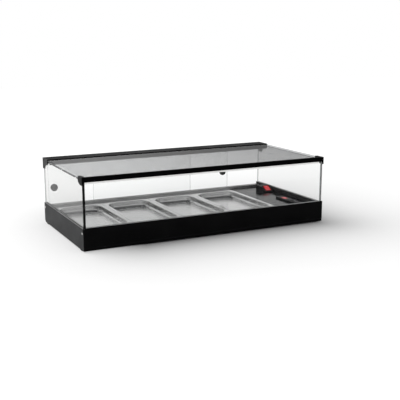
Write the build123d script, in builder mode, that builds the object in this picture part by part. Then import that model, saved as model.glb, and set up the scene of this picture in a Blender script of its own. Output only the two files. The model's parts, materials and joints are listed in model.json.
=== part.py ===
"""Heated tapas display case for a counter: a low glass cabin on a heated base with four pans."""
import os

from build123d import *

os.makedirs("parts", exist_ok=True)

# X runs along the case, the customer's side faces -Y, Z = 0 is the counter. The length and depth
# follow from the pans and from what stands round them.
case_height = 230.0

# Base
foot_height = 3.0
foot_length = 20.0
foot_width = 10.0
foot_bevel = 2.0
foot_from_end = 20.0
cheek_thickness = 12.0
cheek_top = 72.0
cheek_wall = 2.0
cheek_corner_cut = 7.0
sheet = 1.5
fascia_top = 75.0
fascia_bottom = 15.0
fascia_return = 9.0
floor_bottom = 12.0
deck_top = 56.0
deck_front_gap = 0.5
rear_inset = 15.0
cheek_pocket_margin = 14.0
vent_count = 9
vent_pitch = 14.0
vent_length = 70.0
vent_width = 5.0
vent_from_cheek = 65.0
louvre_pitch = 12.0
louvre_height = 24.0
louvre_width = 4.0
louvre_from_gland = 110.0

# Glass. Panes stand in slots with this clearance on each side.
glass_thickness = 5.0
top_glass_thickness = 6.0
slot_clearance = 0.3
slot_depth = 14.0
slot_skin = 2.5
pane_arris = 0.6
top_glass_arris = 0.8
top_glass_below = 2.0
pad_thickness = 1.0
pad_size = 10.0
pad_inset = 0.6
pad_front_gap = 60.0
pad_rear_gap = 30.0
seal_extra = 1.2
seal_gap = 0.2

# Front rail with its light
front_rail_height = 15.5
rail_wall = 1.5
rail_slot_depth = 9.5
rail_lip = 1.1
rail_round = 0.7
ledge_width = 10.0
ledge_thickness = 2.5
front_cap_depth = 38.0
front_cap_height = 25.0
front_cap_tail = 18.0
cap_wall = 2.3
cap_block_width = 9.0
light_depth = 15.0
light_height = 13.0
light_wall = 1.2
light_gap = 0.5
light_end_gap = 3.0
led_thickness = 1.2
led_side_gap = 0.5
diffuser_bulge = 1.5

# Rear rail and sliding doors
rear_rail_depth = 60.0
rear_rail_face = 19.0
rear_rail_back = 21.0
rail_sheet = 2.0
bracket_leg = 37.0
bracket_leg_width = 22.0
bracket_front = 17.0
bracket_elbow = 25.0
bracket_elbow_run = 8.0
door_thickness = 4.0
door_length = 545.0
door_gap = 5.0
door_side_gap = 0.5
right_door_opening = 135.5
track_clearance = 0.5
track_lip = 2.5
track_back_lip = 3.0
lower_track_height = 8.0
lower_track_floor = 3.0
upper_track_height = 18.0
upper_groove_depth = 13.0
door_lift_room = 5.0
door_slide_gap = 0.2
pull_radius = 12.5
pull_hole_radius = 9.5
pull_flange = 1.2
pull_web = 1.6
pull_wall = 1.2
pull_fit = 0.1
pull_from_edge = 20.0
pull_above_base = 52.0

# Pans: third-size catering pans, their long side along the depth
pan_count = 4
pan_length = 325.0
pan_width = 176.0
pan_depth = 20.0
pan_sheet = 0.8
pan_flange = 11.0
pan_corner = 38.0
pan_rim_corner = 14.0
pan_taper = 8.0
pan_floor_bevel = 5.0
pan_rim_drop = 1.6
pan_gap = 1.0
pan_side_gap = 3.0
pan_front_gap = 47.5
pan_rear_gap = 25.0
control_width = 135.0
well_clearance = 2.5

# Heater stack under the pans
insulation_thickness = 14.0
mat_thickness = 1.5
plate_thickness = 3.0
stack_margin = 18.0
stack_extra_depth = 10.0
mat_inset = 12.0
plate_inset = 4.0
divider_gap = 3.0
divider_foot = 10.0
cutout_radius = 6.0
cutout_height = 5.0
cutout_offset = 60.0

# Switch console on the control deck
console_width = 47.0
console_length = 58.0
console_nose = 4.0
console_height = 19.0
console_slope_run = 30.0
console_from_rear = 79.0
console_wall = 2.0
console_round = 2.0
rocker_length = 26.0
rocker_width = 21.0
rocker_proud = 2.0
rocker_gap = 0.4
rocker_tilt = 6.0
rocker_dip = 1.0
rocker_bevel = 0.6
rocker_heel = 2.5
rocker_heel_depth = 4.5
rocker_pivot_depth = 2.0
pivot_pin_radius = 1.2
pivot_pin_reach = 1.0
pivot_fit = 0.05
switch_depth = 9.0
switch_wall = 1.4
switch_flange = 1.5
switch_bezel = 1.0
switch_gap = 0.2

# Control strip, in line with the front of the pans
strip_length = 133.0
strip_width = 32.0
strip_height = 6.0
strip_wall = 1.6
strip_corner = 8.0
strip_bevel = 1.2
strip_from_cheek = 45.0
board_thickness = 1.6
board_gap = 0.2
board_front_margin = 3.0
board_rear_margin = 4.0
display_gap = 0.2
display_recess = 0.4
display_from_rear = 27.0
display_length = 24.0
display_width = 15.0
button_length = 7.0
button_width = 12.0
button_pitch = 10.0
button_travel = 0.6
button_proud = 0.4
button_gap = 0.3
button_bevel = 0.5
button_from_display = 10.0
light_rocker_length = 22.0
light_rocker_width = 14.0
light_rocker_from_front = 10.0
deck_hole_gap = 0.5

# Cord entry and the electrical parts of the control bay
gland_from_cheek = 60.0
gland_hole_radius = 8.0
gland_fit = 0.2
gland_nut_fit = 0.1
gland_hex_radius = 11.0
gland_hex_length = 5.0
gland_collar_radius = 9.5
gland_collar_length = 9.0
gland_collar_bevel = 2.0
gland_thread_length = 10.0
gland_nut_length = 5.0
cord_radius = 4.0
block_length = 46.0
block_width = 20.0
block_height = 16.0
block_from_rear = 45.0
block_pitch = 14.0
block_row_pitch = 10.0
block_socket = 5.0
driver_length = 80.0
driver_width = 40.0
driver_height = 18.0
driver_bevel = 2.0
driver_from_cheek = 65.0
driver_from_front = 60.0
screw_radius = 3.2
screw_proud = 1.2
screw_from_end = 12.0
screw_height = 57.0

# Working values that follow from the sizes above
slot_width = glass_thickness + 2 * slot_clearance
pan_pitch = pan_width + pan_gap
groove_width = door_thickness + 2 * track_clearance
groove_wall = door_gap - 2 * track_clearance
track_depth = track_lip + 2 * groove_width + groove_wall + track_back_lip
deck_setback = sheet + fascia_return + deck_front_gap
case_length = 2 * cheek_thickness + pan_side_gap + pan_count * pan_pitch + control_width
case_depth = deck_setback + pan_front_gap + pan_length + pan_rear_gap + track_depth + rail_sheet
front_y = -case_depth / 2
rear_y = case_depth / 2
half_length = case_length / 2
inner_half = half_length - cheek_thickness
front_glass_y = front_y + sheet + slot_clearance + glass_thickness / 2
side_glass_x = half_length - slot_skin - slot_clearance - glass_thickness / 2
seal_size = glass_thickness + seal_extra
front_slot_back = front_glass_y + slot_width / 2
glass_foot = cheek_top - slot_depth
rail_bottom = case_height - front_rail_height
rail_slot_top = rail_bottom + rail_slot_depth
top_glass_bottom = case_height - top_glass_below - top_glass_thickness
cabin_top = top_glass_bottom - pad_thickness
rail_back = front_slot_back + rail_wall
rear_rail_front = rear_y - rear_rail_depth
floor_top = floor_bottom + sheet
deck_bottom = deck_top - sheet
rear_panel_y = rear_y - rear_inset
deck_front = front_y + deck_setback
track_front = rear_y - rail_sheet - track_depth


def keep(piece, name):
    """Label a finished piece and write it to its own file."""
    piece.part.label = name
    export_step(piece.part, f"parts/{name}.step")


def side_name(side, name):
    """Name of the left (-1) or right (+1) copy of a piece."""
    return ("left_" if side < 0 else "right_") + name


# Side cheeks: folded end panels, hollow towards the inside, slotted on top for the side glass
def make_cheek(side):
    outer_x = side * half_length
    with BuildPart() as cheek:
        with BuildSketch(Plane.YZ.offset(outer_x)):
            with BuildLine():
                Polyline(
                    (front_y + sheet, foot_height),
                    (rear_y - cheek_corner_cut, foot_height),
                    (rear_y, foot_height + cheek_corner_cut),
                    (rear_y, cheek_top),
                    (front_slot_back, cheek_top),
                    (front_slot_back, glass_foot),
                    (front_y + sheet, glass_foot),
                    close=True,
                )
            make_face()
        extrude(amount=-side * cheek_thickness)
        slot_length = rear_y - cheek_wall - front_slot_back
        with Locations((side * side_glass_x, front_slot_back + slot_length / 2, cheek_top)):
            Box(slot_width, slot_length, 2 * slot_depth, mode=Mode.SUBTRACT)
        pocket_bottom = foot_height + cheek_wall
        pocket_top = glass_foot - cheek_wall
        pocket_depth = cheek_thickness - cheek_wall
        pocket_length = case_depth - 2 * cheek_pocket_margin
        with Locations((side * (inner_half + pocket_depth / 2), 0, (pocket_bottom + pocket_top) / 2)):
            Box(pocket_depth, pocket_length, pocket_top - pocket_bottom, mode=Mode.SUBTRACT)
    keep(cheek, side_name(side, "cheek"))


for side in (-1, 1):
    make_cheek(side)

# Rubber feet under the cheeks
with BuildPart() as feet:
    foot_x = half_length - cheek_thickness / 2
    foot_y = case_depth / 2 - foot_from_end - foot_length / 2
    with BuildSketch():
        with GridLocations(2 * foot_x, 2 * foot_y, 2, 2):
            Rectangle(foot_width, foot_length)
    extrude(amount=foot_height)
    chamfer(feet.edges().filter_by(Axis.Z), foot_bevel)
keep(feet, "feet")

# Front fascia: one folded profile with the pocket that the front glass stands in
with BuildPart() as front_fascia:
    with BuildSketch(Plane.YZ.offset(-half_length)):
        with Locations((front_y + sheet / 2, (fascia_top + fascia_bottom) / 2)):
            Rectangle(sheet, fascia_top - fascia_bottom)
    extrude(amount=case_length)
    skin_back = front_y + sheet
    pocket_floor = glass_foot - sheet
    with BuildSketch(Plane.YZ.offset(-inner_half)):
        with BuildLine():
            Polyline(
                (skin_back, fascia_bottom),
                (skin_back + fascia_return, fascia_bottom),
                (skin_back + fascia_return, fascia_bottom + sheet),
                (skin_back, fascia_bottom + sheet),
                close=True,
            )
        make_face()
        with BuildLine():
            Polyline(
                (skin_back, pocket_floor),
                (rail_back, pocket_floor),
                (rail_back, fascia_top),
                (front_slot_back, fascia_top),
                (front_slot_back, glass_foot),
                (skin_back, glass_foot),
                close=True,
            )
        make_face()
    extrude(amount=2 * inner_half)
keep(front_fascia, "front_fascia")

# Floor tray with cooling slots under the control bay
with BuildPart() as floor_tray:
    tray_depth = rear_panel_y - sheet - deck_front
    tray_middle = (rear_panel_y - sheet + deck_front) / 2
    with BuildSketch(Plane.XY.offset(floor_bottom)):
        with Locations((0, tray_middle)):
            Rectangle(2 * inner_half, tray_depth)
        with Locations((inner_half - vent_from_cheek, 0)):
            with GridLocations(0, vent_pitch, 1, vent_count):
                Rectangle(vent_length, vent_width, mode=Mode.SUBTRACT)
    extrude(amount=sheet)
    with BuildSketch(Plane.XY.offset(floor_bottom)):
        with Locations((0, deck_front + sheet / 2)):
            Rectangle(2 * inner_half, sheet)
    extrude(amount=deck_bottom - floor_bottom)
keep(floor_tray, "floor_tray")

# Rear panel: upright sheet set in from the rear, its top flange carries the deck's edge
gland_x = inner_half - gland_from_cheek
gland_z = (floor_top + deck_bottom) / 2
with BuildPart() as rear_panel:
    with BuildSketch(Plane.XZ.offset(-rear_panel_y)):
        with Locations((0, (floor_bottom + deck_bottom) / 2)):
            Rectangle(2 * inner_half, deck_bottom - floor_bottom)
        with Locations((gland_x, gland_z)):
            Circle(gland_hole_radius, mode=Mode.SUBTRACT)
        with Locations((gland_x - louvre_from_gland, gland_z)):
            with GridLocations(louvre_pitch, 0, vent_count, 1):
                Rectangle(louvre_width, louvre_height, mode=Mode.SUBTRACT)
    extrude(amount=sheet)
    with Locations((0, rear_y - rear_inset / 2, deck_bottom - sheet / 2)):
        Box(2 * inner_half, rear_inset, sheet)
keep(rear_panel, "rear_panel")

# Pan positions along the case
first_pan_x = -inner_half + pan_side_gap + pan_width / 2
pan_xs = [first_pan_x + i * pan_pitch for i in range(pan_count)]
deck_split = pan_xs[-1] + pan_width / 2 + pan_gap
pan_y = track_front - pan_rear_gap - pan_length / 2
well_length = pan_length - 2 * pan_flange + 2 * well_clearance
well_width = pan_width - 2 * pan_flange + 2 * well_clearance

# Stainless well top with a rounded opening for each pan
with BuildPart() as well_top:
    with BuildSketch(Plane.XY.offset(deck_bottom)):
        with Locations(((deck_split - inner_half) / 2, (deck_front + rear_y) / 2)):
            Rectangle(deck_split + inner_half, rear_y - deck_front)
        with Locations([(x, pan_y) for x in pan_xs]):
            RectangleRounded(well_width, well_length, pan_corner, mode=Mode.SUBTRACT)
    extrude(amount=sheet)
keep(well_top, "well_top")

# Heater stack: insulation on the floor, silicone heating mat, aluminium plate
stack_right = deck_split - stack_margin
stack_left = -inner_half + stack_margin
stack_length = stack_right - stack_left
stack_depth = pan_length + stack_extra_depth
stack_levels = [
    ("insulation_board", floor_top, insulation_thickness, 0.0),
    ("heating_mat", floor_top + insulation_thickness, mat_thickness, mat_inset),
    ("heating_plate", floor_top + insulation_thickness + mat_thickness, plate_thickness, plate_inset),
]
for layer_name, layer_bottom, layer_thickness, layer_inset in stack_levels:
    with BuildPart() as layer:
        with BuildSketch(Plane.XY.offset(layer_bottom)):
            with Locations(((stack_left + stack_right) / 2, pan_y)):
                Rectangle(stack_length - 2 * layer_inset, stack_depth - 2 * layer_inset)
        extrude(amount=layer_thickness)
    keep(layer, layer_name)
plate_top = floor_top + insulation_thickness + mat_thickness + plate_thickness

# Divider between the hot well and the control bay
with BuildPart() as bay_divider:
    divider_x = deck_split - divider_gap
    with BuildSketch(Plane.XZ.offset(-(rear_panel_y - sheet))):
        with BuildLine():
            Polyline(
                (divider_x, floor_top),
                (divider_x + divider_foot, floor_top),
                (divider_x + divider_foot, floor_top + sheet),
                (divider_x + sheet, floor_top + sheet),
                (divider_x + sheet, deck_bottom),
                (divider_x, deck_bottom),
                close=True,
            )
        make_face()
    extrude(amount=rear_panel_y - sheet - deck_front - sheet)
keep(bay_divider, "bay_divider")


# Pans: deep-drawn, tapered, with a turned-down rim
def make_pan(index, x):
    rim_top = deck_top + pan_rim_drop
    inner_width = pan_width - 2 * pan_flange
    inner_length = pan_length - 2 * pan_flange
    mouth_width = inner_width - 2 * pan_sheet
    mouth_length = inner_length - 2 * pan_sheet
    with BuildPart() as pan:
        with BuildSketch(Plane.XY.offset(rim_top)):
            with Locations((x, pan_y)):
                RectangleRounded(inner_width, inner_length, pan_corner)
        extrude(amount=-pan_depth, taper=pan_taper)
        chamfer(pan.faces().sort_by(Axis.Z)[0].edges(), pan_floor_bevel)
        with BuildSketch(Plane.XY.offset(rim_top)):
            with Locations((x, pan_y)):
                RectangleRounded(mouth_width, mouth_length, pan_corner - pan_sheet)
        hollow = extrude(amount=-(pan_depth - pan_sheet), taper=pan_taper, mode=Mode.PRIVATE)
        hollow_floor = hollow.faces().sort_by(Axis.Z)[0].edges()
        hollow = hollow.chamfer(pan_floor_bevel - pan_sheet / 2, None, hollow_floor)
        add(hollow, mode=Mode.SUBTRACT)
        with BuildSketch(Plane.XY.offset(rim_top)):
            with Locations((x, pan_y)):
                RectangleRounded(pan_width, pan_length, pan_rim_corner)
                RectangleRounded(mouth_width, mouth_length, pan_corner - pan_sheet, mode=Mode.SUBTRACT)
        extrude(amount=-pan_sheet)
        with BuildSketch(Plane.XY.offset(rim_top)):
            with Locations((x, pan_y)):
                RectangleRounded(pan_width, pan_length, pan_rim_corner)
                RectangleRounded(pan_width - 2 * pan_sheet, pan_length - 2 * pan_sheet,
                                 pan_rim_corner - pan_sheet, mode=Mode.SUBTRACT)
        extrude(amount=-pan_rim_drop)
    keep(pan, f"pan_{index}")


for index, x in enumerate(pan_xs, start=1):
    make_pan(index, x)

# Side glass panes, from the cheek slots to the pads under the top glass
side_glass_front = front_slot_back + slot_clearance
side_glass_rear = rear_y - cheek_wall - slot_clearance
side_glass_length = side_glass_rear - side_glass_front
for side in (-1, 1):
    with BuildPart() as side_glass:
        with BuildSketch(Plane.YZ.offset(side * side_glass_x)):
            with Locations(((side_glass_front + side_glass_rear) / 2, (glass_foot + cabin_top) / 2)):
                Rectangle(side_glass_length, cabin_top - glass_foot)
        extrude(amount=glass_thickness / 2, both=True)
        chamfer(side_glass.edges().group_by(Axis.Z)[-1], pane_arris)
    keep(side_glass, side_name(side, "glass"))

# Front glass pane between the two corner seals
front_glass_half = side_glass_x + glass_thickness / 2 - seal_size - seal_gap
with BuildPart() as front_glass:
    with BuildSketch(Plane.XZ.offset(-front_glass_y)):
        with Locations((0, (glass_foot + rail_slot_top) / 2)):
            Rectangle(2 * front_glass_half, rail_slot_top - glass_foot)
    extrude(amount=glass_thickness / 2, both=True)
keep(front_glass, "front_glass")

# Corner seals: black profiles with a round nose and a lip behind each pane
for side in (-1, 1):
    seal_outer = side_glass_x + glass_thickness / 2
    seal_front = front_glass_y - glass_thickness / 2
    with BuildPart() as corner_seal:
        with BuildSketch(Plane.XY.offset(glass_foot)):
            with BuildLine():
                nose = seal_size / 2
                Line((side * (seal_outer - seal_size), seal_front), (side * (seal_outer - nose), seal_front))
                RadiusArc(
                    (side * (seal_outer - nose), seal_front),
                    (side * seal_outer, seal_front + nose),
                    side * -nose,
                )
                Line((side * seal_outer, seal_front + nose), (side * seal_outer, front_slot_back))
                Line((side * seal_outer, front_slot_back), (side * (seal_outer - seal_size), front_slot_back))
                Line((side * (seal_outer - seal_size), front_slot_back),
                     (side * (seal_outer - seal_size), seal_front))
            make_face()
        extrude(amount=rail_slot_top - glass_foot)
    keep(corner_seal, side_name(side, "corner_seal"))

# Clear pads that carry the top glass on the side panes
with BuildPart() as glass_pads:
    pad_ys = [side_glass_front + pad_front_gap, 0, rear_rail_front - pad_rear_gap]
    with Locations([(side * side_glass_x, y, cabin_top + pad_thickness / 2)
                    for side in (-1, 1) for y in pad_ys]):
        Box(glass_thickness - 2 * pad_inset, pad_size, pad_thickness)
keep(glass_pads, "glass_pads")

# Top glass: plates stand on it. Its front corners are notched for the blocks of the rail's end caps.
rail_half = half_length - cap_wall
lip_back = front_slot_back + rail_lip
cap_rear = front_y + front_cap_depth
top_glass_half = rail_half - slot_clearance
top_glass_front = lip_back + slot_clearance
top_glass_rear = rear_rail_front - slot_clearance
notch_width = top_glass_half - (rail_half - cap_block_width - slot_clearance)
notch_depth = cap_rear + slot_clearance - top_glass_front
with BuildPart() as top_glass:
    with BuildSketch(Plane.XY.offset(top_glass_bottom)):
        with Locations((0, (top_glass_front + top_glass_rear) / 2)):
            Rectangle(2 * top_glass_half, top_glass_rear - top_glass_front)
        with Locations([(side * (top_glass_half - notch_width / 2), top_glass_front + notch_depth / 2)
                        for side in (-1, 1)]):
            Rectangle(notch_width, notch_depth, mode=Mode.SUBTRACT)
    extrude(amount=top_glass_thickness)
    chamfer(top_glass.edges().group_by(Axis.Z)[-1], top_glass_arris)
keep(top_glass, "top_glass")

# Front rail: extrusion with a slot for the front glass and a ledge for the top glass
with BuildPart() as front_rail:
    with BuildSketch(Plane.YZ.offset(-rail_half)):
        with BuildLine():
            Polyline(
                (front_y, rail_bottom),
                (front_y, case_height),
                (lip_back, case_height),
                (lip_back, top_glass_bottom),
                (rail_back + ledge_width, top_glass_bottom),
                (rail_back + ledge_width, top_glass_bottom - ledge_thickness),
                (rail_back, top_glass_bottom - ledge_thickness),
                (rail_back, rail_bottom),
                (front_slot_back, rail_bottom),
                (front_slot_back, rail_slot_top),
                (front_y + sheet, rail_slot_top),
                (front_y + sheet, rail_bottom),
                close=True,
            )
        make_face()
    extrude(amount=2 * rail_half)
    front_edges = front_rail.edges().filter_by(Axis.X).group_by(Axis.Y)[0]
    fillet(front_edges, rail_round)
    pane_room = rail_back + ledge_width - front_slot_back
    pane_room_height = top_glass_bottom - rail_bottom
    with Locations([(side * side_glass_x, front_slot_back + pane_room / 2, rail_bottom + pane_room_height / 2)
                    for side in (-1, 1)]):
        Box(slot_width, pane_room, pane_room_height, mode=Mode.SUBTRACT)
keep(front_rail, "front_rail")

# End caps of the front rail: a plate with a block that sits on the ledge, in the notch of the top glass
for side in (-1, 1):
    with BuildPart() as rail_cap:
        with BuildSketch(Plane.YZ.offset(side * half_length)):
            with BuildLine():
                Polyline(
                    (front_y, case_height - front_cap_height),
                    (front_y, case_height),
                    (cap_rear, case_height),
                    (cap_rear, case_height - front_cap_tail),
                    ((front_y + cap_rear) / 2, case_height - front_cap_height),
                    close=True,
                )
            make_face()
        extrude(amount=-side * cap_wall)
        with BuildSketch(Plane.XY.offset(top_glass_bottom)):
            with Locations((side * (rail_half - cap_block_width / 2), (top_glass_front + cap_rear) / 2)):
                Rectangle(cap_block_width, cap_rear - top_glass_front)
        extrude(amount=case_height - top_glass_bottom)
    keep(rail_cap, side_name(side, "front_cap"))

# Light: aluminium channel under the ledge, LED strip in it and a milky diffuser below
light_front = rail_back + light_gap
light_back = light_front + light_depth
light_top = top_glass_bottom - ledge_thickness
light_half = side_glass_x - glass_thickness - light_end_gap
with BuildPart() as light_channel:
    with BuildSketch(Plane.YZ.offset(-light_half)):
        with BuildLine():
            Polyline(
                (light_front, light_top - light_height / 2),
                (light_front, light_top),
                (light_back, light_top),
                (light_back, light_top - light_height / 2),
                (light_back - light_wall, light_top - light_height / 2),
                (light_back - light_wall, light_top - light_wall),
                (light_front + light_wall, light_top - light_wall),
                (light_front + light_wall, light_top - light_height / 2),
                close=True,
            )
        make_face()
    extrude(amount=2 * light_half)
keep(light_channel, "light_channel")

with BuildPart() as led_strip:
    with Locations((0, (light_front + light_back) / 2, light_top - light_wall - led_thickness / 2)):
        Box(2 * (light_half - light_end_gap), light_depth - 2 * (light_wall + led_side_gap), led_thickness)
keep(led_strip, "led_strip")

with BuildPart() as light_diffuser:
    diffuser_top = light_top - light_height / 2
    with BuildSketch(Plane.YZ.offset(-light_half)):
        with BuildLine():
            left = light_front
            right = light_back
            bottom = light_top - light_height
            shoulder = bottom + diffuser_bulge
            Line((left, diffuser_top), (left, shoulder))
            ThreePointArc((left, shoulder), ((left + right) / 2, bottom), (right, shoulder))
            Line((right, shoulder), (right, diffuser_top))
            Line((right, diffuser_top), (left, diffuser_top))
        make_face()
    extrude(amount=2 * light_half)
keep(light_diffuser, "light_diffuser")

# Rear rail: a hood over the door tracks, with a ledge for the top glass
with BuildPart() as rear_rail:
    with BuildSketch(Plane.YZ.offset(-rail_half)):
        with BuildLine():
            Polyline(
                (rear_rail_front, case_height - rear_rail_face),
                (rear_rail_front, top_glass_bottom - ledge_thickness),
                (rear_rail_front - ledge_width, top_glass_bottom - ledge_thickness),
                (rear_rail_front - ledge_width, top_glass_bottom),
                (rear_rail_front, top_glass_bottom),
                (rear_rail_front, case_height),
                (rear_y, case_height),
                (rear_y, case_height - rear_rail_back),
                (rear_y - rail_sheet, case_height - rear_rail_back),
                (rear_y - rail_sheet, case_height - rail_sheet),
                (rear_rail_front + rail_sheet, case_height - rail_sheet),
                (rear_rail_front + rail_sheet, case_height - rear_rail_face),
                close=True,
            )
        make_face()
    extrude(amount=2 * rail_half)
    pane_cut_length = rear_rail_depth + 2 * ledge_width
    pane_cut_height = rear_rail_back - (case_height - top_glass_bottom)
    with Locations([(side * side_glass_x, rear_y - rail_sheet - pane_cut_length / 2,
                     top_glass_bottom - pane_cut_height / 2) for side in (-1, 1)]):
        Box(slot_width, pane_cut_length, pane_cut_height, mode=Mode.SUBTRACT)
keep(rear_rail, "rear_rail")

# End brackets of the rear rail: flat plates with a leg down the rear edge of the side glass
for side in (-1, 1):
    with BuildPart() as rear_bracket:
        with BuildSketch(Plane.YZ.offset(side * half_length)):
            with BuildLine():
                Polyline(
                    (rear_y, case_height - bracket_leg),
                    (rear_y, case_height),
                    (rear_rail_front, case_height),
                    (rear_rail_front, case_height - bracket_front),
                    (rear_y - bracket_leg_width - bracket_elbow_run, case_height - bracket_elbow),
                    (rear_y - bracket_leg_width, case_height - bracket_leg),
                    close=True,
                )
            make_face()
        extrude(amount=-side * cap_wall)
    keep(rear_bracket, side_name(side, "rear_bracket"))

# Door tracks: each has a front groove for the left door and a rear groove for the right door
front_door_y = track_front + track_lip + groove_width / 2
rear_door_y = front_door_y + door_thickness + door_gap
upper_track_top = case_height - rail_sheet
upper_track_bottom = upper_track_top - upper_track_height
with BuildPart() as lower_track:
    with BuildSketch(Plane.YZ.offset(-inner_half)):
        with Locations((track_front + track_depth / 2, deck_top + lower_track_height / 2)):
            Rectangle(track_depth, lower_track_height)
        with Locations([(y, deck_top + lower_track_floor + lower_track_height / 2)
                        for y in (front_door_y, rear_door_y)]):
            Rectangle(groove_width, lower_track_height, mode=Mode.SUBTRACT)
    extrude(amount=2 * inner_half)
keep(lower_track, "lower_track")

with BuildPart() as upper_track:
    with BuildSketch(Plane.YZ.offset(-inner_half)):
        with Locations((track_front + track_depth / 2, upper_track_top - upper_track_height / 2)):
            Rectangle(track_depth, upper_track_height)
        with Locations([(y, upper_track_bottom + upper_groove_depth / 2)
                        for y in (front_door_y, rear_door_y)]):
            Rectangle(groove_width, upper_groove_depth, mode=Mode.SUBTRACT)
    extrude(amount=2 * inner_half)
keep(upper_track, "upper_track")

# Sliding doors with round finger pulls; the left door is shut, the right one stands partly open
door_bottom = deck_top + lower_track_floor + door_slide_gap
door_top = upper_track_bottom + upper_groove_depth - door_lift_room
pull_z = cheek_top + pull_above_base
left_door_x = -inner_half + door_side_gap + door_length / 2
right_door_x = inner_half - door_side_gap - right_door_opening - door_length / 2
doors = [
    ("left", left_door_x, front_door_y, left_door_x - door_length / 2 + pull_from_edge),
    ("right", right_door_x, rear_door_y, right_door_x + door_length / 2 - pull_from_edge),
]
for door_side, door_x, door_y, pull_x in doors:
    with BuildPart() as door_glass:
        with BuildSketch(Plane.XZ.offset(-door_y)):
            with Locations((door_x, (door_bottom + door_top) / 2)):
                Rectangle(door_length, door_top - door_bottom)
            with Locations((pull_x, pull_z)):
                Circle(pull_hole_radius, mode=Mode.SUBTRACT)
        extrude(amount=door_thickness / 2, both=True)
    keep(door_glass, f"{door_side}_door_glass")

    with BuildPart() as door_pull:
        half = door_thickness / 2
        bore = pull_hole_radius - pull_fit
        with BuildSketch(Plane.XZ.offset(-door_y)):
            with Locations((pull_x, pull_z)):
                Circle(bore)
        extrude(amount=half, both=True)
        for face_side in (-1, 1):
            with BuildSketch(Plane.XZ.offset(-door_y + face_side * half)):
                with Locations((pull_x, pull_z)):
                    Circle(pull_radius)
            extrude(amount=face_side * pull_flange)
        for face_side in (-1, 1):
            with BuildSketch(Plane.XZ.offset(-door_y + face_side * (half + pull_flange))):
                with Locations((pull_x, pull_z)):
                    Circle(bore - pull_wall)
            extrude(amount=-face_side * (half + pull_flange - pull_web / 2), mode=Mode.SUBTRACT)
    keep(door_pull, f"{door_side}_door_pull")

# Control deck at the right of the pans, with cut-outs for the switch and the strip
console_x = inner_half - console_width / 2
console_rear_y = rear_y - console_from_rear
console_front_y = console_rear_y - console_length
strip_x = inner_half - strip_from_cheek
strip_centre_y = deck_front + pan_front_gap + strip_length / 2
strip_plane = Plane.XY.offset(deck_top)
strip_top = deck_top + strip_height
board_top = deck_top + board_thickness
button_top = strip_top + button_travel + button_proud
display_y = strip_centre_y + strip_length / 2 - display_from_rear - display_length / 2
first_button_y = display_y - display_length / 2 - button_from_display
button_ys = [first_button_y - i * button_pitch for i in range(3)]
light_rocker_y = strip_centre_y - strip_length / 2 + light_rocker_from_front + light_rocker_length / 2
light_plane = Plane(origin=(strip_x, light_rocker_y, strip_top))
with BuildPart() as control_deck:
    with BuildSketch(Plane.XY.offset(deck_bottom)):
        with Locations(((deck_split + inner_half) / 2, (deck_front + rear_y) / 2)):
            Rectangle(inner_half - deck_split, rear_y - deck_front)
        with Locations((console_x, (console_front_y + console_rear_y) / 2)):
            Rectangle(console_width - 4 * console_wall, console_length - 4 * console_wall,
                      mode=Mode.SUBTRACT)
        with Locations((strip_x, light_rocker_y)):
            Rectangle(light_rocker_width + 2 * (switch_wall + deck_hole_gap),
                      light_rocker_length + 2 * (switch_wall + deck_hole_gap), mode=Mode.SUBTRACT)
        with Locations((strip_x, first_button_y)):
            SlotOverall(2 * button_pitch, button_length, mode=Mode.SUBTRACT)
    extrude(amount=sheet)
keep(control_deck, "control_deck")

# Switch console: a hollow wedge whose slope carries the main rocker
slope_rise = console_height - console_nose
slope_plane = Plane(
    origin=(console_x, console_front_y + console_slope_run / 2, deck_top + console_nose + slope_rise / 2),
    x_dir=(1, 0, 0),
    z_dir=(0, -slope_rise, console_slope_run),
)
console_outline = [
    (console_front_y, deck_top),
    (console_front_y, deck_top + console_nose),
    (console_front_y + console_slope_run, deck_top + console_height),
    (console_rear_y, deck_top + console_height),
    (console_rear_y, deck_top),
]
with BuildPart() as switch_console:
    with BuildSketch(Plane.YZ.offset(inner_half)):
        Polygon(*console_outline, align=None)
    extrude(amount=-console_width)
    fillet(switch_console.edges().filter_by(Axis.X).group_by(Axis.Z)[-1], console_round)
    with BuildSketch(Plane.YZ.offset(inner_half - console_wall)):
        Polygon(*console_outline, align=None)
        offset(amount=-console_wall, mode=Mode.REPLACE)
        foot_length = console_length - 2 * console_wall
        with Locations((console_front_y + console_length / 2, deck_top + console_wall)):
            Rectangle(foot_length, 2 * console_wall)
    extrude(amount=-(console_width - 2 * console_wall), mode=Mode.SUBTRACT)
    with BuildSketch(slope_plane):
        Rectangle(rocker_width + 2 * (switch_wall + switch_gap), rocker_length + 2 * (switch_wall + switch_gap))
    extrude(amount=3 * console_wall, both=True, mode=Mode.SUBTRACT)
keep(switch_console, "switch_console")


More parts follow.
